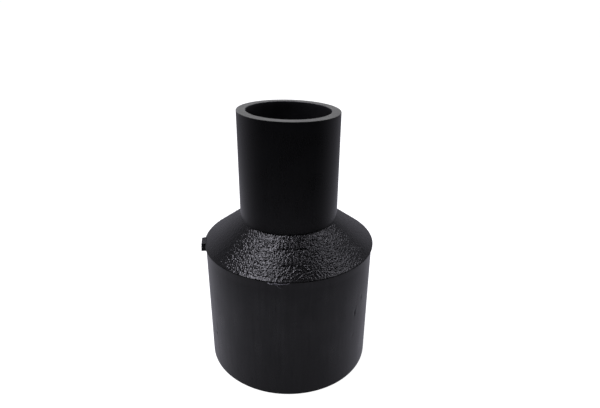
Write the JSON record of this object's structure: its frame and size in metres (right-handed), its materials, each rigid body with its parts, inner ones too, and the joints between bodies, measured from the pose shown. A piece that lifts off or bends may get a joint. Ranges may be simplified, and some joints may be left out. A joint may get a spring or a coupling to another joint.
{
  "type": "pipe reducer",
  "caption": "Long-spigot polyethylene reducer for butt fusion: a wide plain pipe end, a grained cone and a narrower plain pipe end on one axis.",
  "frame": {"origin": "centre of the large end face, on the axis of the bore", "axes": "+Z along the axis from the large end to the small end, -X towards the trimmed moulding gate, -Y close to the middle of the raised marks"},
  "size_m": [0.114, 0.1116, 0.172],
  "materials": {
    "smooth_black": "smooth moulded black polyethylene with faint upright wipe marks",
    "grained_black": "black polyethylene with a coarse spark-eroded leather grain",
    "satin_black": "satin moulded black polyethylene, with a paler grey sawn end face",
    "trimmed_black": "black polyethylene, knife-trimmed",
    "raised_black": "black polyethylene, slightly glossier on the raised tops"
  },
  "bodies": {
    "root": {"large_spigot": "smooth_black", "reducing_cone": "grained_black", "small_spigot": "satin_black", "gate_stub": "trimmed_black", "upper_marks": "raised_black", "lower_marks": "raised_black"}
  },
  "joints": []
}
